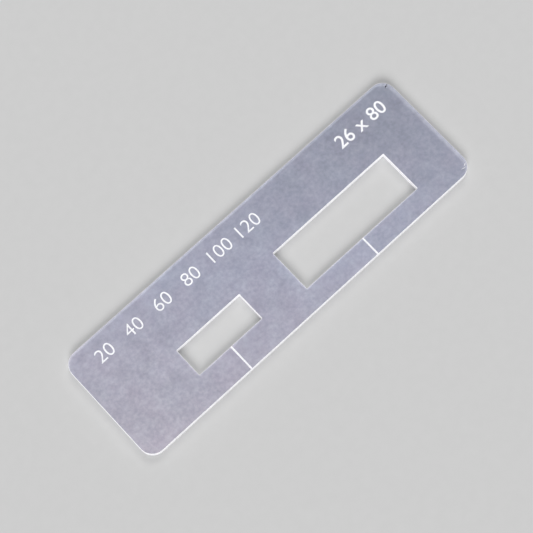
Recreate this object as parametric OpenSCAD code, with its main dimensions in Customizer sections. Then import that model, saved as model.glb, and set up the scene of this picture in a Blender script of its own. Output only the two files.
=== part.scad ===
// Routing template for a mortise lock, laser cut from one clear acrylic sheet.
// A guide bush follows the two windows: the small one for the lock case, the large one for its plate.
// Origin at the middle of the underside, +X along the length, +Y away from the reference edge.

/* [Sheet] */
// Length of the sheet
sheet_length = 230; // [210:1:400]
// Width of the sheet
sheet_width = 69.5; // [45:0.5:160]
// Thickness of the sheet
sheet_thickness = 4.5; // [2:0.5:12]
// Radius of the four outer corners
corner_radius = 8; // [0.5:0.5:20]

/* [Lock] */
// Length of the rebate for the face plate
plate_length = 76; // [30:0.5:110]
// Width of the rebate for the face plate
plate_width = 22; // [12:0.5:40]
// Length of the mortise for the case
case_length = 40; // [20:0.5:80]
// Width of the mortise for the case
case_width = 13.5; // [8:0.5:40]

/* [Windows] */
// How far the guide bush stands out past the cutter, all round
bush_offset = 2; // [0.5:0.25:8]
// Distance from the reference edge to the centre line of both windows
centre_line = 25; // [16:0.5:50]
// Distance from each end of the sheet to the middle of the window beside it
end_inset = 70; // [50:1:80]
// Inner corner radius that the cutting beam leaves
beam_radius = 0.25; // [0.05:0.05:2]

/* [Centre marks] */
// Width of the engraved line
mark_width = 1; // [0.2:0.1:3]
// Depth of the engraved line
mark_depth = 0.3; // [0.1:0.05:1]

/* [Hidden] */
plate_window = [plate_length + 2 * bush_offset, plate_width + 2 * bush_offset];
case_window = [case_length + 2 * bush_offset, case_width + 2 * bush_offset];
case_mark_x = -sheet_length / 2 + end_inset;
plate_mark_x = sheet_length / 2 - end_inset;
reference_y = -sheet_width / 2;
line_y = reference_y + centre_line;
// How far a cut runs out past the face that it opens
clear = 1;
corner_facets = 96;

// A rectangle centred on the origin with round corners, made of squares and circles
module rounded_rectangle(size, radius) {
    span = [size.x / 2 - radius, size.y / 2 - radius];
    square([size.x - 2 * radius, size.y], center = true);
    square([size.x, size.y - 2 * radius], center = true);
    for (x = [-span.x, span.x], y = [-span.y, span.y])
        translate([x, y])
            circle(r = radius, $fn = corner_facets);
}

// The window that the guide bush runs round, centred under its mark
module window(size, mark_x) {
    translate([mark_x, line_y])
        rounded_rectangle(size, beam_radius);
}

// The sheet as it is cut out, seen from above
module outline() {
    difference() {
        rounded_rectangle([sheet_length, sheet_width], corner_radius);
        window(case_window, case_mark_x);
        window(plate_window, plate_mark_x);
    }
}

// The line engraved in the top face, from a window's near side to the reference edge
module centre_mark(size, mark_x) {
    run = centre_line - size.y / 2;
    translate([mark_x - mark_width / 2, reference_y - clear, sheet_thickness - mark_depth])
        cube([mark_width, run + 2 * clear, mark_depth + clear]);
}

module template_sheet() {
    color([0.70, 0.70, 0.76, 0.6])
        difference() {
            linear_extrude(sheet_thickness)
                outline();
            centre_mark(case_window, case_mark_x);
            centre_mark(plate_window, plate_mark_x);
        }
}

template_sheet();
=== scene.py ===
# %% [markdown]
# # A lock routing template in clear acrylic
# The real object is one flat sheet of acrylic. A laser cut its outline and its two windows, and engraved
# the marks in its top face. A router's guide bush runs round each window, so the sizes are what matters,
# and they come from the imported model. What Blender adds is the finish: hazy clear faces, frosted cut
# walls with a fine lip along every edge, the engraving, and the marks that cutting and use have left.

import math

import bmesh
import bpy
from mathutils import Matrix, Quaternion, Vector


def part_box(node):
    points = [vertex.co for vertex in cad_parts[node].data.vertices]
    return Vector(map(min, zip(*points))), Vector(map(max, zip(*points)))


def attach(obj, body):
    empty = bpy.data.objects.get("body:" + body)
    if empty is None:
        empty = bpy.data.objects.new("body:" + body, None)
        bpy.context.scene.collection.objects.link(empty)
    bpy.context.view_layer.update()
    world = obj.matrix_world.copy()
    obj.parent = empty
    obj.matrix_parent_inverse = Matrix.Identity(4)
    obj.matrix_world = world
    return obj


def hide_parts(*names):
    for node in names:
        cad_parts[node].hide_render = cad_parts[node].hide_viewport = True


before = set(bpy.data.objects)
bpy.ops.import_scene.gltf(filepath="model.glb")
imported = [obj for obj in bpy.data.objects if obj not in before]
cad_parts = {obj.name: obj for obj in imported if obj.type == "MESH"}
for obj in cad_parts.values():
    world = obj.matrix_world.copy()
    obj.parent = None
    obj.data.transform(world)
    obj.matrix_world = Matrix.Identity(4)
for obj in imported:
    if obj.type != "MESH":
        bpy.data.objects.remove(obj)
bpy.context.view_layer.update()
NODE = "template_sheet"
MM = 0.001

low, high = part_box(NODE)
sheet_size = Vector(high) - Vector(low)
print("sheet, mm:", [round(side / MM, 2) for side in sheet_size])

# %% [markdown]
# ## Sizes of the sheet
# The length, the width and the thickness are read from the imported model. The rest repeats the sizes that
# the part was drawn with, in millimetres, because a window's size is the lock's size plus the step of
# the guide bush all round. What only the finish needs, such as the lip, comes later in its own cell.

# %% Sizes
BUSH_STEP = 2.0
PLATE_SIZE = (76.0, 22.0)
CASE_SIZE = (40.0, 13.5)
CENTRE_LINE = 25.0
END_INSET = 70.0
CORNER_RADIUS = 8.0
BEAM_RADIUS = 0.25
MARK_WIDTH = 1.0
MARK_DEPTH = 0.3

length, width, thickness = sheet_size
half_length, half_width = length / 2, width / 2
line_y = -half_width + CENTRE_LINE * MM
case_x = -half_length + END_INSET * MM
plate_x = half_length - END_INSET * MM
case_window = [(side + 2 * BUSH_STEP) * MM for side in CASE_SIZE]
plate_window = [(side + 2 * BUSH_STEP) * MM for side in PLATE_SIZE]
print("windows, mm:", [[round(side / MM, 2) for side in w] for w in (case_window, plate_window)])

# %% [markdown]
# ## The camera
# It looks down on the sheet from about a metre away, a little to the left of it and in front of the
# reference edge. That is why the cut walls show on the far side and at the right end of each window only.
# The photograph seems to be taken from nearer by and cropped far off its centre. A shifted lens could
# repeat that, but the shift would stay in every other view, so this camera aims at the middle of the
# sheet from further off, with a longer lens. Angles are in degrees, and distances in millimetres.

# %% Camera
CAMERA_AZIMUTH = -39.262
CAMERA_ELEVATION = 75.303
CAMERA_ROLL = 3.655
CAMERA_DISTANCE = 984.44
CAMERA_TARGET = (-1.65, 1.19, 0.0)
CAMERA_LENS = 126.331
SENSOR_WIDTH = 36.0


def look_from(azimuth, elevation):
    """The direction from the object to a viewer; azimuth 0 stands in front, at -Y, and looks along +Y."""
    turn, rise = math.radians(azimuth), math.radians(elevation)
    return Vector((math.sin(turn) * math.cos(rise), -math.cos(turn) * math.cos(rise), math.sin(rise)))


camera_data = bpy.data.cameras.new("Camera")
camera_data.lens = CAMERA_LENS
camera_data.sensor_width = SENSOR_WIDTH
camera_data.clip_start = 0.05
camera = bpy.data.objects.new("Camera", camera_data)
bpy.context.collection.objects.link(camera)
bpy.context.scene.camera = camera

back = look_from(CAMERA_AZIMUTH, CAMERA_ELEVATION)
camera.rotation_mode = "QUATERNION"
upright = (-back).to_track_quat("-Z", "Y")
camera.rotation_quaternion = Quaternion(-back, math.radians(CAMERA_ROLL)) @ upright
camera.location = Vector(CAMERA_TARGET) * MM + back * CAMERA_DISTANCE * MM
print("camera, mm:", [round(place / MM, 1) for place in camera.location])

# %% [markdown]
# ## Helpers for node trees
# Every finish and every Geometry Nodes tree below is built from the same three steps: add a node, set
# its sockets, link it. Short helpers for them keep the cells about the finish, and not about the calls.
# The Mix node needs one of its own, because several of its sockets share a name, so that its colour
# sockets can only be told by their number.

# %% Helpers for nodes
MIX_FIRST = 6
MIX_SECOND = 7
MIX_COLOUR = 2


def add_node(tree, kind, sockets=None, **settings):
    """Adds a node, sets its own settings, then fills or links its input sockets."""
    node = tree.nodes.new(kind)
    for name, value in settings.items():
        setattr(node, name, value)
    for name, value in (sockets or {}).items():
        if isinstance(value, bpy.types.NodeSocket):
            tree.links.new(value, node.inputs[name])
        else:
            node.inputs[name].default_value = value
    return node


def new_group(name, kind, inputs, outputs):
    """A node group with named sockets: {name: (socket type, default value)}."""
    tree = bpy.data.node_groups.new(name, kind)
    for label, (socket, value) in inputs.items():
        made = tree.interface.new_socket(label, in_out="INPUT", socket_type="NodeSocket" + socket)
        if value is not None:
            made.default_value = value
    for label, socket in outputs.items():
        tree.interface.new_socket(label, in_out="OUTPUT", socket_type="NodeSocket" + socket)
    return tree, tree.nodes.new("NodeGroupInput").outputs, tree.nodes.new("NodeGroupOutput").inputs


def maths(tree, operation, *values):
    """One sum, product or comparison of two or three values."""
    return add_node(tree, "ShaderNodeMath", dict(enumerate(values)), operation=operation).outputs[0]


def blended(tree, first, second, factor=1.0, blend_type="MIX"):
    """Two colours mixed by the factor, in the way that the blend type names."""
    mix = add_node(tree, "ShaderNodeMix", {"Factor": factor}, data_type="RGBA", blend_type=blend_type)
    tree.links.new(first, mix.inputs[MIX_FIRST])
    tree.links.new(second, mix.inputs[MIX_SECOND])
    return mix.outputs[MIX_COLOUR]


def new_material(name):
    """A material with an empty Principled shader, and the object's own coordinates."""
    material = bpy.data.materials.new(name)
    material.use_nodes = True
    tree = material.node_tree
    tree.nodes.clear()
    shader = tree.nodes.new("ShaderNodeBsdfPrincipled")
    output = tree.nodes.new("ShaderNodeOutputMaterial")
    tree.links.new(shader.outputs["BSDF"], output.inputs["Surface"])
    place = tree.nodes.new("ShaderNodeTexCoord").outputs["Object"]
    return material, tree, shader, place


# %% [markdown]
# ## Mottle
# No real surface has one even colour. The faces have a faint blotchy haze a few millimetres across, and
# the cut walls and the engraving have the steps that the laser leaves, drawn out along one axis. All are
# the same effect at another size, so it is one shader node group: a place goes in, and noise at that
# place blends two colours. A Mapping node before it sets how large a blotch is along each axis.

# %% Mottle group


def mottle_group():
    """Blends two colours by noise; the mask is the blend's own factor."""
    inputs = {
        "Place": ("Vector", None),
        "Colour": ("Color", None),
        "Second colour": ("Color", None),
        "Contrast": ("Float", 1.0),
    }
    tree, given, out = new_group("Mottle", "ShaderNodeTree", inputs, {"Colour": "Color", "Mask": "Float"})
    settings = {"Vector": given["Place"], "Scale": 1.0, "Detail": 3.0, "Roughness": 0.55}
    noise = add_node(tree, "ShaderNodeTexNoise", settings).outputs["Fac"]
    centred = maths(tree, "SUBTRACT", noise, 0.5)
    spread = add_node(
        tree,
        "ShaderNodeMath",
        {0: centred, 1: given["Contrast"], 2: 0.5},
        operation="MULTIPLY_ADD",
        use_clamp=True,
    ).outputs[0]
    colour = blended(tree, given["Colour"], given["Second colour"], factor=spread)
    tree.links.new(colour, out["Colour"])
    tree.links.new(spread, out["Mask"])
    return tree


MOTTLE = mottle_group()
print("mottle group:", len(MOTTLE.nodes), "nodes")


def mottle(tree, place, colour, second, feature, contrast, stretch=(1, 1, 1)):
    """Places the group in a material; feature is a blotch's size in millimetres before its stretch."""
    blotches = [1 / (feature * longer * MM) for longer in stretch]
    sized = add_node(tree, "ShaderNodeMapping", {"Vector": place, "Scale": blotches}).outputs[0]
    return add_node(
        tree,
        "ShaderNodeGroup",
        {"Place": sized, "Colour": colour, "Second colour": second, "Contrast": contrast},
        node_tree=MOTTLE,
    ).outputs


# %% [markdown]
# ## Painted light across the haze
# The sheet is clear, but it doesn't look like glass: its faces carry a pale lilac haze. Over it lies
# painted light and shade: the colour is lighter and pinkish near one corner, and darker and bluer towards
# the far end, a painted sheen of overhead light that falls off across the sheet. Three colours on a ramp
# paint that gradient. The ramp runs across the sheet at an angle, so a Mapping node turns the object's
# coordinates first. Its scale makes the ramp as long as the gradient, in millimetres, and its location
# puts the middle of the ramp in the middle of the sheet.

# %% Painted light across the haze
# These three colours paint light and shade: the near one lit, the middle one half lit, the far one shaded
# and bluer.
HAZE_NEAR_LIT = (0.935, 0.90, 1.0, 1)
HAZE_MIDDLE_HALF_LIT = (0.795, 0.81, 0.955, 1)
HAZE_FAR_SHADED = (0.61, 0.64, 0.755, 1)
DRIFT_TURN = 56.0
DRIFT_SPAN = 180.0


def painted_light_drift(tree, place):
    """Painted light and shade across the sheet: lighter and pinkish near one corner, darker and bluer far
    off.
    """
    turned = add_node(
        tree,
        "ShaderNodeMapping",
        {
            "Vector": place,
            "Location": (0.5, 0.0, 0.0),
            "Rotation": (0, 0, math.radians(-DRIFT_TURN)),
            "Scale": [1 / (DRIFT_SPAN * MM)] * 3,
        },
    )
    along = add_node(tree, "ShaderNodeSeparateXYZ", {0: turned.outputs[0]}).outputs["X"]
    ramp = add_node(tree, "ShaderNodeValToRGB", {"Fac": along})
    ramp.color_ramp.elements.new(0.5)
    for stop, colour in zip(ramp.color_ramp.elements, (HAZE_NEAR_LIT, HAZE_MIDDLE_HALF_LIT, HAZE_FAR_SHADED)):
        stop.color = colour
    return ramp.outputs["Color"]


# %% [markdown]
# ## Clear acrylic
# The haze lets about half of the light through and scatters the rest. A Principled shader does both at
# once. Transmission Weight is the clear share, and what is left is the haze in the Base Color, with the
# painted light and shade of the ramp above in it. The index of refraction, 1.49, is what bends the far
# walls into the bright bands along the edges, and the underside margin widens those bands with painted
# light. Over the painted gradient lie three sizes of mottle: patches of tint, clouds a few millimetres
# across, and a fine grain. A fourth one is in the Roughness, where wiping has left the polish a little
# smeared.

# %% Clear acrylic
WHITE = (1, 1, 1, 1)
PINK_PATCH = (1, 0.98, 0.99, 1)
BLUE_PATCH = (0.98, 1, 1, 1)
CLOUD_SHADE = (0.82, 0.82, 0.84, 1)
FINE_SHADE = (0.82, 0.82, 0.83, 1)
POLISHED = (0.07, 0.07, 0.07, 1)
SMEARED = (0.14, 0.14, 0.14, 1)
CLEAR_SHARE = 0.55
ACRYLIC_IOR = 1.49


def clear_acrylic():
    """Hazy clear faces under a painted gradient of light and shade, with patches, clouds and a fine mottle
    over it.
    """
    material, tree, shader, place = new_material("hazy_acrylic")
    patches = mottle(tree, place, PINK_PATCH, BLUE_PATCH, feature=18.0, contrast=3.0)
    clouds = mottle(tree, place, CLOUD_SHADE, WHITE, feature=7.0, contrast=2.5)
    fine = mottle(tree, place, FINE_SHADE, WHITE, feature=2.2, contrast=2.9)
    # The base colour starts from painted light and shade: lighter near one corner, darker far off.
    haze_with_painted_light = painted_light_drift(tree, place)
    for layer in (patches, clouds, fine):
        haze_with_painted_light = blended(tree, haze_with_painted_light, layer["Colour"], blend_type="MULTIPLY")
    tree.links.new(haze_with_painted_light, shader.inputs["Base Color"])
    smear = mottle(tree, place, POLISHED, SMEARED, feature=14.0, contrast=2.0)
    tree.links.new(smear["Colour"], shader.inputs["Roughness"])
    shader.inputs["IOR"].default_value = ACRYLIC_IOR
    shader.inputs["Transmission Weight"].default_value = CLEAR_SHARE
    return material


CLEAR = clear_acrylic()
print("clear acrylic:", len(CLEAR.node_tree.nodes), "nodes")

# %% [markdown]
# ## Laser-cut walls and engraving
# A laser boils the acrylic away and leaves it white. The walls carry fine upright steps, one for each
# pulse of the beam, and broader streaks where the machine sped up or slowed down. The engraving carries
# level lines, one for each pass of the head. All are the mottle drawn out along one axis, as colour and
# as relief. A clear sheet also pipes light to wherever its skin is broken, so its cut walls look brighter
# than paper would there. Path tracing that light through the sheet is slow and noisy, so a faint glow
# stands for it. The scuffs get less of that light, so they glow less. The underside margin glows less
# too, and together with its pale colour that glow paints in the bright band of the far walls seen
# through the sheet.

# %% Cut walls and engraving
FROST_WHITE = (0.80, 0.80, 0.82, 1)
FROST_SHADE = (0.62, 0.62, 0.66, 1)
STREAK_SHADE = (0.86, 0.86, 0.87, 1)
STREAK = 2.0
STEP_RELIEF = 0.02
FROST_ROUGHNESS = 0.55


def frosted(name, feature, stretch, glow):
    """White frosted acrylic: the laser's steps, drawn out by the stretch, under broader streaks."""
    material, tree, shader, place = new_material(name)
    steps = mottle(tree, place, FROST_SHADE, FROST_WHITE, feature, contrast=2.4, stretch=stretch)
    streaks = mottle(tree, place, STREAK_SHADE, WHITE, STREAK, contrast=2.8, stretch=stretch)
    colour = blended(tree, steps["Colour"], streaks["Colour"], blend_type="MULTIPLY")
    tree.links.new(colour, shader.inputs["Base Color"])
    relief = {"Height": steps["Mask"], "Distance": STEP_RELIEF * MM, "Strength": 0.6}
    bump = add_node(tree, "ShaderNodeBump", relief)
    tree.links.new(bump.outputs["Normal"], shader.inputs["Normal"])
    shader.inputs["Roughness"].default_value = FROST_ROUGHNESS
    shader.inputs["IOR"].default_value = ACRYLIC_IOR
    shader.inputs["Emission Color"].default_value = WHITE
    shader.inputs["Emission Strength"].default_value = glow
    return material


CUT = frosted("laser_cut_edge", feature=0.5, stretch=(1, 1, 24), glow=0.31)
ENGRAVED = frosted("engraving", feature=0.25, stretch=(16, 1, 16), glow=0.27)
# This pale, faintly glowing strip paints in the bright band of the far walls seen through the sheet.
PAINTED_BAND_MARGIN = frosted("painted_band_margin", feature=0.3, stretch=(1, 1, 1), glow=0.13)
SCUFFED = frosted("scuff", feature=0.2, stretch=(1, 1, 1), glow=0.05)
print("frosted finishes:", [finish.name for finish in (CUT, ENGRAVED, PAINTED_BAND_MARGIN, SCUFFED)])

# %% [markdown]
# ## What the laser follows
# The sheet's shape follows a rule, a round-cornered rectangle with two windows, so Geometry Nodes draw
# it. Filling a flat outline and extruding it would be the short way, but it leaves knife-sharp edges. A
# laser melts the rim of its cut into a small round lip. It is narrower than half a pixel here, but it
# catches the light, and it is why every edge in the photograph ends in a thin bright line. So the cut
# wall is a profile with a lip at both ends, swept along all three outlines as the laser follows them.

# %% Outlines and the wall's profile
OUTER_STEPS = 24
BEAM_STEPS = 4
LIP = 0.22
LIP_STEPS = 2
# Radius of the lip's rounding, as a multiple of the lip
LIP_ROUNDING = 2.0


def rounded_outline(tree, size_x, size_y, radius, steps):
    """A rectangle with round corners, centred on the origin."""
    box = add_node(tree, "GeometryNodeCurvePrimitiveQuadrilateral", {"Width": size_x, "Height": size_y})
    return add_node(
        tree,
        "GeometryNodeFilletCurve",
        {"Curve": box.outputs[0], "Count": steps, "Radius": radius, "Limit Radius": True},
        mode="POLY",
    ).outputs[0]


def window_outline(tree, sides, place, radius):
    """A window's outline, reversed, so that the same profile turns its lip away from the hole."""
    split = add_node(tree, "ShaderNodeSeparateXYZ", {0: sides}).outputs
    hole = rounded_outline(tree, split["X"], split["Y"], radius, BEAM_STEPS)
    moved = add_node(tree, "GeometryNodeTransform", {"Geometry": hole, "Translation": place}).outputs[0]
    return add_node(tree, "GeometryNodeReverseCurve", {"Curve": moved}).outputs[0]


def wall_profile(tree, height, lip):
    """The wall's section: straight, with a round lip at both ends. The sweep takes -Y as up."""
    inset = maths(tree, "MULTIPLY", lip, -1.0)
    corners = [(inset, 0.0), (0.0, inset)]
    corners += [(0.0, maths(tree, "SUBTRACT", lip, height)), (inset, maths(tree, "MULTIPLY", height, -1.0))]
    points = {}
    for number, (x, y) in enumerate(corners, start=1):
        points[f"Point {number}"] = add_node(tree, "ShaderNodeCombineXYZ", {"X": x, "Y": y}).outputs[0]
    section = add_node(tree, "GeometryNodeCurvePrimitiveQuadrilateral", points, mode="POINTS").outputs[0]
    opened = add_node(tree, "GeometryNodeSetSplineCyclic", {"Geometry": section, "Cyclic": False})
    radius = maths(tree, "MULTIPLY", lip, LIP_ROUNDING)
    rounding = {"Curve": opened.outputs[0], "Count": LIP_STEPS, "Radius": radius, "Limit Radius": True}
    return add_node(tree, "GeometryNodeFilletCurve", rounding, mode="POLY").outputs[0]


def swept(tree, outline, profile):
    """Sweeps a profile along an outline and keeps the profile upright."""
    upright = add_node(tree, "GeometryNodeSetCurveNormal", {"Curve": outline}, mode="Z_UP").outputs[0]
    sweep = {"Curve": upright, "Profile Curve": profile}
    return add_node(tree, "GeometryNodeCurveToMesh", sweep).outputs[0]


# %% [markdown]
# ## The frosted margin, a painted band
# A narrow frosted strip lies along the outer edge of the underside. It is painted light: seen down
# through the sheet, its pale, faintly glowing surface stands in for the bright band that the far walls
# make along the far edges when they are seen through the sheet, and it is widened at the far end, where
# that band is widest. It is a second profile, a short line, swept along the outer outline. The points at
# the line's inner end are marked before the sweep, so that they alone can be moved in at the far end of
# the sheet.

# %% Frosted margin, a painted band
# Painted band: the underside strip stands in for the bright band of the far walls seen through the sheet.
MARGIN = 0.4
# Wider at the far end, where the painted band is widest.
PAINTED_BAND_END = 0.8
# How far from the far end the margin has its full width, as a share of the corner radius
MARGIN_EASE = 0.25


def margin_profile(tree, lip, margin):
    """The frosted strip on the underside, from the lip inwards."""
    start = maths(tree, "MULTIPLY", lip, -1.0)
    end = maths(tree, "SUBTRACT", start, margin)
    points = [add_node(tree, "ShaderNodeCombineXYZ", {"X": x}).outputs[0] for x in (start, end)]
    line = {"Start": points[0], "End": points[1]}
    return add_node(tree, "GeometryNodeCurvePrimitiveLine", line).outputs[0]


def painted_band_margin(tree, outline, given):
    """The strip swept round the underside, its inner rim moved in from the far end, where it paints a wider
    band.
    """
    profile = margin_profile(tree, given["Lip"], given["Margin"])
    rims = tree.nodes.new("GeometryNodeCaptureAttribute")
    rims.capture_items.new("FLOAT", "Inner")
    tree.links.new(profile, rims.inputs["Geometry"])
    tree.links.new(tree.nodes.new("GeometryNodeInputIndex").outputs[0], rims.inputs["Inner"])
    strip = swept(tree, outline, rims.outputs["Geometry"])

    spot = tree.nodes.new("GeometryNodeInputPosition").outputs[0]
    along = add_node(tree, "ShaderNodeSeparateXYZ", {0: spot}).outputs["X"]
    end = maths(tree, "MULTIPLY", given["Length"], 0.5)
    arc = maths(tree, "SUBTRACT", end, given["Corner radius"])
    full = maths(tree, "SUBTRACT", end, maths(tree, "MULTIPLY", given["Corner radius"], MARGIN_EASE))
    limits = {"Value": along, "From Min": arc, "From Max": full}
    nearness = add_node(tree, "ShaderNodeMapRange", limits, interpolation_type="SMOOTHSTEP").outputs[0]
    inner = maths(tree, "MULTIPLY", nearness, rims.outputs["Inner"])
    step = maths(tree, "MULTIPLY", inner, maths(tree, "MULTIPLY", given["Painted band end"], -1.0))
    offset = add_node(tree, "ShaderNodeCombineXYZ", {"X": step}).outputs[0]
    return add_node(tree, "GeometryNodeSetPosition", {"Geometry": strip, "Offset": offset}).outputs[0]


# %% [markdown]
# ## The sheet
# The wall and the margin leave open rims at the top and at the underside. Each set of rims is turned back
# to curves and filled, which gives a flat face with its holes. Everything is joined, and the doubled
# points along the seams are merged, so that the sheet is one closed solid. A Boolean needs that.

# %% Sheet tree
SEAM = 0.001


def with_finish(tree, geometry, material):
    """Gives all of the geometry one finish."""
    finish = {"Geometry": geometry, "Material": material}
    return add_node(tree, "GeometryNodeSetMaterial", finish).outputs[0]


def joined(tree, *parts):
    """Joins the parts and closes the seams between them."""
    join = tree.nodes.new("GeometryNodeJoinGeometry")
    for part in parts:
        tree.links.new(part, join.inputs[0])
    merge = {"Geometry": join.outputs[0], "Distance": SEAM * MM}
    return add_node(tree, "GeometryNodeMergeByDistance", merge).outputs[0]


def open_edges(tree):
    """Selects the edges that bound only one face."""
    neighbours = tree.nodes.new("GeometryNodeInputMeshEdgeNeighbors").outputs[0]
    return maths(tree, "LESS_THAN", neighbours, 2.0)


def rim_face(tree, wall, side, level):
    """A flat face across the open rims on one side of a level."""
    spot = tree.nodes.new("GeometryNodeInputPosition").outputs[0]
    height = add_node(tree, "ShaderNodeSeparateXYZ", {0: spot}).outputs["Z"]
    chosen = maths(tree, "MULTIPLY", open_edges(tree), maths(tree, side, height, level))
    rim = add_node(tree, "GeometryNodeMeshToCurve", {"Mesh": wall, "Selection": chosen}).outputs[0]
    return add_node(tree, "GeometryNodeFillCurve", {"Curve": rim}).outputs[0]


def sheet_tree():
    """The template's wall swept along its outlines, closed by its two faces."""
    inputs = {
        "Length": ("Float", length),
        "Width": ("Float", width),
        "Thickness": ("Float", thickness),
        "Corner radius": ("Float", CORNER_RADIUS * MM),
        "Beam radius": ("Float", BEAM_RADIUS * MM),
        "Lip": ("Float", LIP * MM),
        "Margin": ("Float", MARGIN * MM),
        "Painted band end": ("Float", PAINTED_BAND_END * MM),
        "Case window": ("Vector", (*case_window, 0)),
        "Case window place": ("Vector", (case_x, line_y, 0)),
        "Plate window": ("Vector", (*plate_window, 0)),
        "Plate window place": ("Vector", (plate_x, line_y, 0)),
        "Face finish": ("Material", None),
        "Wall finish": ("Material", None),
        "Margin finish": ("Material", None),
    }
    tree, given, out = new_group("Template sheet", "GeometryNodeTree", inputs, {"Geometry": "Geometry"})
    outlines = tree.nodes.new("GeometryNodeJoinGeometry")
    outer = rounded_outline(tree, given["Length"], given["Width"], given["Corner radius"], OUTER_STEPS)
    tree.links.new(outer, outlines.inputs[0])
    for name in ("Case window", "Plate window"):
        hole = window_outline(tree, given[name], given[name + " place"], given["Beam radius"])
        tree.links.new(hole, outlines.inputs[0])
    sides = swept(tree, outlines.outputs[0], wall_profile(tree, given["Thickness"], given["Lip"]))
    wall_part = with_finish(tree, sides, given["Wall finish"])
    margin_part = with_finish(tree, painted_band_margin(tree, outer, given), given["Margin finish"])
    cut = joined(tree, wall_part, margin_part)
    wall = add_node(tree, "GeometryNodeFlipFaces", {"Mesh": cut}).outputs[0]

    middle = maths(tree, "MULTIPLY", given["Thickness"], 0.5)
    lift = add_node(tree, "ShaderNodeCombineXYZ", {"Z": given["Thickness"]}).outputs[0]
    upper = rim_face(tree, wall, "GREATER_THAN", middle)
    top = add_node(tree, "GeometryNodeTransform", {"Geometry": upper, "Translation": lift}).outputs[0]
    lower = rim_face(tree, wall, "LESS_THAN", middle)
    underside = add_node(tree, "GeometryNodeFlipFaces", {"Mesh": lower}).outputs[0]
    closed = joined(
        tree,
        with_finish(tree, top, given["Face finish"]),
        with_finish(tree, underside, given["Face finish"]),
        wall,
    )
    real = add_node(tree, "GeometryNodeRealizeInstances", {"Geometry": closed}).outputs[0]
    tree.links.new(real, out["Geometry"])
    return tree


SHEET_TREE = sheet_tree()
print("sheet tree:", len(SHEET_TREE.nodes), "nodes")

# %% [markdown]
# ## From a tree to a plain mesh
# A tree runs in a modifier, and the modifier's input is set by its socket's identifier, not its name. The
# evaluated result is copied to a plain mesh and the modifier goes, so that what rides in the frame is an
# ordinary piece. The volume is a quick test: it is only right, and positive, when the mesh is closed and
# its faces point outwards.

# %% Run a tree


def run_tree(name, tree, **values):
    """Runs a tree and returns an object with a plain mesh; Face_finish sets the input Face finish."""
    holder = bpy.data.objects.new(name, bpy.data.meshes.new(name))
    bpy.context.collection.objects.link(holder)
    modifier = holder.modifiers.new(name, "NODES")
    modifier.node_group = tree
    sockets = {s.name: s.identifier for s in tree.interface.items_tree if s.in_out == "INPUT"}
    for label, value in values.items():
        modifier[sockets[label.replace("_", " ")]] = value
    plain(holder)
    return holder


def plain(piece):
    """Replaces a piece's mesh by what its modifiers make of it, and removes them."""
    graph = bpy.context.evaluated_depsgraph_get()
    mesh = bpy.data.meshes.new_from_object(piece.evaluated_get(graph))
    piece.modifiers.clear()
    piece.data = mesh


def volume(piece):
    """The piece's volume in cubic centimetres."""
    form = bmesh.new()
    form.from_mesh(piece.data)
    amount = form.calc_volume(signed=True) / (10 * MM) ** 3
    form.free()
    return amount


finishes = {"Face_finish": CLEAR, "Wall_finish": CUT, "Margin_finish": PAINTED_BAND_MARGIN}
sheet = run_tree("acrylic_sheet", SHEET_TREE, **finishes)
print("sheet:", len(sheet.data.polygons), "faces,", round(volume(sheet), 3), "cm3")

# %% [markdown]
# ## The weight of a stroke
# The top face has two lines of engraved figures, one with finer strokes than the font's own and one with
# bolder strokes. Blender has one font built in and no other weight of it, so the outlines themselves are
# moved: outwards for a bolder stroke, inwards for a finer one. In a sharp corner the moved points run
# past each other, and such a loop would spoil the cut, so points that end up too near the old outline
# are dropped.

# %% Weight of a stroke
OUTLINE_STEP = 0.15
# The least distance from the old outline, as a share of the weight
LEAST_SHARE = 0.9


def uncrossed(tree, moved, outline, weight):
    """Drops the points that ran past each other in a sharp corner: they end up too near the outline."""
    edges = add_node(tree, "GeometryNodeCurveToMesh", {"Curve": outline}).outputs[0]
    nearest = add_node(tree, "GeometryNodeProximity", {0: edges}, target_element="EDGES")
    least = maths(tree, "MULTIPLY", maths(tree, "ABSOLUTE", weight), LEAST_SHARE)
    too_near = maths(tree, "LESS_THAN", nearest.outputs["Distance"], least)
    points = {"Geometry": moved, "Selection": too_near}
    return add_node(tree, "GeometryNodeDeleteGeometry", points, domain="POINT").outputs[0]


def reweighted(tree, curves, weight):
    """Moves every outline outwards by the weight, or inwards by a negative one."""
    steps = {"Curve": curves, "Length": OUTLINE_STEP * MM}
    even = add_node(tree, "GeometryNodeResampleCurve", steps, mode="LENGTH").outputs[0]
    along = tree.nodes.new("GeometryNodeInputTangent").outputs[0]
    outward = add_node(tree, "ShaderNodeVectorMath", {0: along, 1: (0, 0, 1)}, operation="CROSS_PRODUCT")
    shift = {0: outward.outputs[0], "Scale": weight}
    step = add_node(tree, "ShaderNodeVectorMath", shift, operation="SCALE").outputs[0]
    moved = add_node(tree, "GeometryNodeSetPosition", {"Geometry": even, "Offset": step}).outputs[0]
    return uncrossed(tree, moved, even, weight)


# %% [markdown]
# ## An engraved figure
# The figures are plain numbers: a scale along the sheet, and the size of the large window. A figure is a
# string turned to curves, filled and extruded into a solid that is later cut out of the top face. The
# solid stands a little proud of the face, so that the two never share a plane.

# %% Figure tree
CAP_HEIGHT = 7.3
# Height of a numeral in the font, as a share of the font's size
CAP_SHARE = 0.682
# Width of a numeral, as a share of its width in the font
STRETCH = 1.04
ENGRAVING_DEPTH = 0.25
CUTTER_RISE = 0.5


def solid_from_outline(tree, curves, depth):
    """Fills the curves and extrudes the fill by depth into a closed solid."""
    fill = add_node(tree, "GeometryNodeFillCurve", {"Curve": curves}).outputs[0]
    lift = add_node(tree, "ShaderNodeCombineXYZ", {"Z": depth}).outputs[0]
    raised = add_node(tree, "GeometryNodeExtrudeMesh", {"Mesh": fill, "Offset": lift, "Individual": False})
    floor = add_node(tree, "GeometryNodeFlipFaces", {"Mesh": fill}).outputs[0]
    return joined(tree, raised.outputs["Mesh"], floor)


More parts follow.
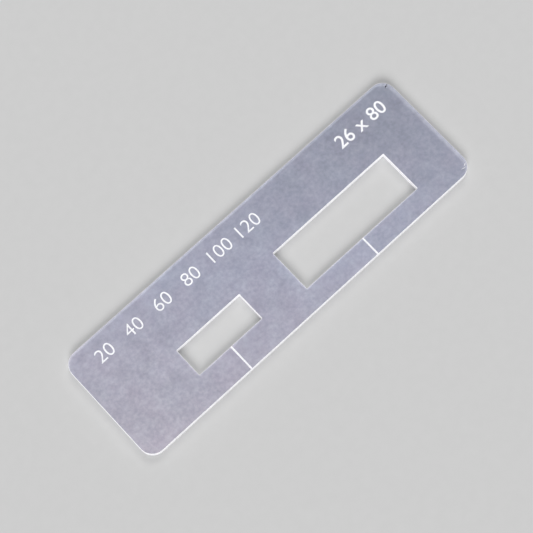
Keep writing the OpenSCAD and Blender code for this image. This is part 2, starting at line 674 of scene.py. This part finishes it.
def figure_tree():
    """One string as a solid that cuts its shape into a face."""
    inputs = {
        "Text": ("String", "0"),
        "Cap height": ("Float", CAP_HEIGHT * MM),
        "Weight": ("Float", 0.0),
        "Depth": ("Float", ENGRAVING_DEPTH * MM),
        "Finish": ("Material", None),
    }
    tree, given, out = new_group("Engraved figure", "GeometryNodeTree", inputs, {"Geometry": "Geometry"})
    size = maths(tree, "DIVIDE", given["Cap height"], CAP_SHARE)
    text = add_node(
        tree,
        "GeometryNodeStringToCurves",
        {"String": given["Text"], "Size": size},
        align_x="CENTER",
        align_y="BOTTOM_BASELINE",
    )
    real = add_node(tree, "GeometryNodeRealizeInstances", {"Geometry": text.outputs[0]}).outputs[0]
    height = maths(tree, "ADD", given["Depth"], CUTTER_RISE * MM)
    solid = solid_from_outline(tree, reweighted(tree, real, given["Weight"]), height)
    drop = maths(tree, "MULTIPLY", given["Depth"], -1.0)
    down = add_node(tree, "ShaderNodeCombineXYZ", {"Z": drop}).outputs[0]
    placed = add_node(
        tree,
        "GeometryNodeTransform",
        {"Geometry": solid, "Translation": down, "Scale": (STRETCH, 1, 1)},
    ).outputs[0]
    tree.links.new(with_finish(tree, placed, given["Finish"]), out["Geometry"])
    return tree


FIGURE_TREE = figure_tree()
print("figure tree:", len(FIGURE_TREE.nodes), "nodes")

# %% [markdown]
# ## The scale
# A number stands every twenty millimetres from the end of the sheet. A Repeat Zone counts along the
# scale: each turn makes the next number from the figure tree and sets it at the distance that it names.

# %% Scale tree
SCALE_COUNT = 6
SCALE_STEP = 20.0


def scale_tree():
    """Numbers that count up along X, each above the distance that it names."""
    inputs = {
        "Count": ("Int", SCALE_COUNT),
        "Step": ("Float", SCALE_STEP),
        "Cap height": ("Float", CAP_HEIGHT * MM),
        "Weight": ("Float", 0.0),
        "Depth": ("Float", ENGRAVING_DEPTH * MM),
        "Finish": ("Material", None),
    }
    tree, given, out = new_group("Scale numbers", "GeometryNodeTree", inputs, {"Geometry": "Geometry"})
    start = tree.nodes.new("GeometryNodeRepeatInput")
    end = tree.nodes.new("GeometryNodeRepeatOutput")
    start.pair_with_output(end)
    tree.links.new(given["Count"], start.inputs["Iterations"])
    turn = maths(tree, "ADD", start.outputs["Iteration"], 1.0)
    value = maths(tree, "MULTIPLY", turn, given["Step"])
    figure = add_node(
        tree,
        "GeometryNodeGroup",
        {
            "Text": add_node(tree, "FunctionNodeValueToString", {"Value": value}).outputs[0],
            "Cap height": given["Cap height"],
            "Weight": given["Weight"],
            "Depth": given["Depth"],
            "Finish": given["Finish"],
        },
        node_tree=FIGURE_TREE,
    ).outputs[0]
    place = add_node(tree, "ShaderNodeCombineXYZ", {"X": maths(tree, "MULTIPLY", value, MM)}).outputs[0]
    moved = add_node(tree, "GeometryNodeTransform", {"Geometry": figure, "Translation": place}).outputs[0]
    join = tree.nodes.new("GeometryNodeJoinGeometry")
    tree.links.new(start.outputs["Geometry"], join.inputs[0])
    tree.links.new(moved, join.inputs[0])
    tree.links.new(join.outputs[0], end.inputs["Geometry"])
    real = add_node(tree, "GeometryNodeRealizeInstances", {"Geometry": end.outputs["Geometry"]}).outputs[0]
    tree.links.new(with_finish(tree, real, given["Finish"]), out["Geometry"])
    return tree


SCALE_TREE = scale_tree()
print("scale tree:", len(SCALE_TREE.nodes), "nodes")

# %% [markdown]
# ## Cutting the engraving
# The figures and the centre marks are real recesses, so they hold light and shade from every side. Each
# cutter is moved to its place on the top face and taken away from the sheet by an exact Boolean, which
# hands its own finish to the new surfaces. Places are given in millimetres as on a drawing: along the
# sheet from its end, and up from the reference edge.

# %% Cutters
OVERRUN = 1.0


def at_top(x, y):
    """A point on the top face, from millimetres along the sheet and up from the reference edge."""
    return Vector((-half_length + x * MM, -half_width + y * MM, thickness))


def move_mesh(piece, offset):
    """Moves a piece's mesh and leaves its object at the origin."""
    for vertex in piece.data.vertices:
        vertex.co += offset


def as_cutter(name, form, finish):
    """Turns a finished bmesh into an object with one finish."""
    cutter = bpy.data.objects.new(name, bpy.data.meshes.new(name))
    form.to_mesh(cutter.data)
    form.free()
    cutter.data.materials.append(finish)
    bpy.context.collection.objects.link(cutter)
    return cutter


def groove_cutter(name, start, end, width, depth, finish=ENGRAVED, pointed=False):
    """A solid that cuts a groove, its width and depth in millimetres; a pointed one has two sharp ends."""
    along = (end - start).normalized()
    side = Vector((-along.y, along.x, 0)) * width * MM / 2
    plan = [start - side, end - side, end + side, start + side]
    if pointed:
        middle = (start + end) / 2
        plan = [start, middle - side, end, middle + side]
    form = bmesh.new()
    floor = form.faces.new([form.verts.new(point - Vector((0, 0, depth * MM))) for point in plan])
    raised = bmesh.ops.extrude_face_region(form, geom=[floor])["geom"]
    tops = [part for part in raised if isinstance(part, bmesh.types.BMVert)]
    bmesh.ops.translate(form, vec=(0, 0, (depth + CUTTER_RISE) * MM), verts=tops)
    bmesh.ops.recalc_face_normals(form, faces=form.faces)
    return as_cutter(name, form, finish)


def cut_away(piece, cutter):
    """Takes the cutter's shape out of the piece, with the cutter's finish, and removes the cutter."""
    boolean = piece.modifiers.new("Cut", "BOOLEAN")
    boolean.operation = "DIFFERENCE"
    boolean.solver = "EXACT"
    boolean.material_mode = "TRANSFER"
    boolean.object = cutter
    plain(piece)
    bpy.data.objects.remove(cutter)


# %% [markdown]
# ## The engraving in its place
# The scale's strokes are made a little finer and the size mark's a little bolder. The size mark takes its
# two numbers from the window, so it stays right when a size changes. The cutters of the centre marks run
# past the reference edge and into the windows, so that both ends of each mark are open.

# %% Cut the engraving
FIGURE_LINE = 54.8
SCALE_WEIGHT = -0.08
SIZE_MARK_X = 202.6
SIZE_MARK_WEIGHT = 0.08

scale = run_tree("scale", SCALE_TREE, Weight=SCALE_WEIGHT * MM, Finish=ENGRAVED)
move_mesh(scale, at_top(0, FIGURE_LINE))
size_text = " x ".join(str(round(side / MM)) for side in reversed(plate_window))
size_weight = SIZE_MARK_WEIGHT * MM
size_mark = run_tree("size_mark", FIGURE_TREE, Text=size_text, Weight=size_weight, Finish=ENGRAVED)
move_mesh(size_mark, at_top(SIZE_MARK_X, FIGURE_LINE))
cutters = [scale, size_mark]
for name, x, window in (("case_mark", case_x, case_window), ("plate_mark", plate_x, plate_window)):
    edge = Vector((x, -half_width - OVERRUN * MM, thickness))
    near_side = Vector((x, line_y - window[1] / 2 + OVERRUN * MM, thickness))
    cutters.append(groove_cutter(name, edge, near_side, MARK_WIDTH, MARK_DEPTH))
for cutter in cutters:
    cut_away(sheet, cutter)
print("engraved:", len(sheet.data.polygons), "faces,", round(volume(sheet), 3), "cm3")

# %% [markdown]
# ## Marks of cutting and use
# Two small faults tell that this sheet was made and handled. One is the start of the cut, near a corner:
# a scorched hole where the beam pierced the sheet, a little wider below because the beam spreads, and the
# thin slit by which it came in from the outline. The other is a pair of short scuffs on the next corner.
# Both are cut the same way as the engraving.

# %% Start of the cut, and scuffs
CHAR_DARK = (0.08, 0.08, 0.085, 1)
CHAR_PALE = (0.28, 0.28, 0.30, 1)
CHAR_ROUGHNESS = 0.6
PIERCE = (227.1, 64.6)
PIERCE_RADIUS = 0.38
PIERCE_SPREAD = 1.3
PIERCE_STEPS = 16
SLIT_END = (230.0, 65.6)
SLIT_WIDTH = 0.2
SCUFF_DEPTH = 0.05
SCUFFS = {
    "scuff_one": ((223.9, 3.7), (227.2, 2.8), 0.45),
    "scuff_two": ((226.4, 3.8), (228.8, 4.9), 0.6),
}


def scorched():
    """Charred acrylic, dark and rough."""
    material, tree, shader, place = new_material("scorched_cut")
    char = mottle(tree, place, CHAR_DARK, CHAR_PALE, feature=0.3, contrast=2.0)
    tree.links.new(char["Colour"], shader.inputs["Base Color"])
    shader.inputs["Roughness"].default_value = CHAR_ROUGHNESS
    return material


def pierce_cutter(finish):
    """A slim cone right through the sheet."""
    form = bmesh.new()
    place = at_top(*PIERCE) - Vector((0, 0, thickness / 2))
    bmesh.ops.create_cone(
        form,
        cap_ends=True,
        segments=PIERCE_STEPS,
        radius1=PIERCE_RADIUS * PIERCE_SPREAD * MM,
        radius2=PIERCE_RADIUS * MM,
        depth=thickness + 2 * OVERRUN * MM,
        matrix=Matrix.Translation(place),
    )
    return as_cutter("pierce", form, finish)


SCORCHED = scorched()
slit_depth = thickness / MM + OVERRUN
slit = groove_cutter("slit", at_top(*PIERCE), at_top(*SLIT_END), SLIT_WIDTH, slit_depth, SCORCHED)
marks = [pierce_cutter(SCORCHED), slit]
for name, (start, end, breadth) in SCUFFS.items():
    ends = (at_top(*start), at_top(*end))
    marks.append(groove_cutter(name, *ends, breadth, SCUFF_DEPTH, SCUFFED, pointed=True))
for cutter in marks:
    cut_away(sheet, cutter)
print("marked:", len(sheet.data.polygons), "faces,", round(volume(sheet), 3), "cm3")

# %% [markdown]
# ## Into the frame
# The finished sheet stands for the plain CAD sheet and rides on the only body. Its flat faces stay flat,
# and only the arcs of the corners and the lip are shaded smooth: they meet at less than the angle given
# here, in degrees.

# %% Ride and replace
SMOOTH_ANGLE = 32

for face in sheet.data.polygons:
    face.use_smooth = True
sheet.data.set_sharp_from_angle(angle=math.radians(SMOOTH_ANGLE))
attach(sheet, "root")
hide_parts(NODE)
print("rides on root and replaces", NODE)

# %% [markdown]
# ## The studio
# A plain pale floor, two broad soft lamps and an even sky. Each lamp is a sun whose disc is as wide as
# a large softbox looks from a step away: it gives the same soft shadows, and it lights the whole floor
# evenly. The key stands low enough to reach the cut walls that face the camera, which makes them the
# brightest thing in the picture, as they are in the photograph. It is kept out of reflections, as a
# polariser would do, because from the far side its glare would hide the engraving. The floor lies a hair
# below the sheet, so that the two surfaces never share a plane. Where a view runs past the floor it meets
# the world, which shows the floor's own brightness to the camera, to reflections and through the sheet.

# %% Floor and light
FLOOR_GAP = 0.3
FLOOR_SIZE = 12.0
FLOOR_COLOUR = (0.62, 0.62, 0.62, 1)
FLOOR_SHADE = (0.60, 0.60, 0.60, 1)
FLOOR_ROUGHNESS = 0.8
SKY_STRENGTH = 0.36
SUN_WIDTH = 33.0
# Azimuth and elevation in degrees, strength, and whether reflections show the lamp
LAMPS = {"key": (-45, 40, 2.1, False), "back": (135, 48, 0.92, True)}


def studio_floor():
    """A wide plain floor with a faint grain."""
    material, tree, shader, place = new_material("studio_floor")
    grain = mottle(tree, place, FLOOR_COLOUR, FLOOR_SHADE, feature=6.0, contrast=1.5)
    tree.links.new(grain["Colour"], shader.inputs["Base Color"])
    shader.inputs["Roughness"].default_value = FLOOR_ROUGHNESS
    shader.inputs["Specular IOR Level"].default_value = 0.0
    bpy.ops.mesh.primitive_plane_add(size=FLOOR_SIZE, location=(0, 0, -FLOOR_GAP * MM))
    floor = bpy.context.object
    floor.name = "floor"
    floor.data.materials.append(material)
    return floor


def soft_sun(name, azimuth, elevation, strength, mirrored):
    """A sun with a broad disc; returns what it adds to the brightness of a white floor."""
    data = bpy.data.lights.new(name, "SUN")
    data.angle = math.radians(SUN_WIDTH)
    data.energy = strength
    lamp = bpy.data.objects.new(name, data)
    lamp.rotation_mode = "QUATERNION"
    lamp.rotation_quaternion = (-look_from(azimuth, elevation)).to_track_quat("-Z", "Y")
    lamp.visible_glossy = mirrored
    bpy.context.collection.objects.link(lamp)
    return strength * math.sin(math.radians(elevation)) / math.pi


def pale_world(backdrop):
    """An even sky, with the backdrop's brightness for the camera, reflections and what is seen through."""
    world = bpy.data.worlds.new("studio")
    world.use_nodes = True
    tree = world.node_tree
    ray = tree.nodes.new("ShaderNodeLightPath").outputs
    seen = maths(tree, "MAXIMUM", ray["Is Camera Ray"], ray["Is Glossy Ray"])
    seen = maths(tree, "MAXIMUM", seen, ray["Is Transmission Ray"])
    sky = tree.nodes["Background"]
    sky.inputs["Color"].default_value = WHITE
    strength = maths(tree, "MULTIPLY_ADD", seen, backdrop - SKY_STRENGTH, SKY_STRENGTH)
    tree.links.new(strength, sky.inputs["Strength"])
    return world


studio_floor()
light_level = SKY_STRENGTH + sum(soft_sun(name, *lamp) for name, lamp in LAMPS.items())
bpy.context.scene.world = pale_world(light_level * (FLOOR_COLOUR[0] + FLOOR_SHADE[0]) / 2)
bpy.context.scene.view_settings.view_transform = "Standard"
print("light on a level surface:", round(light_level, 3))
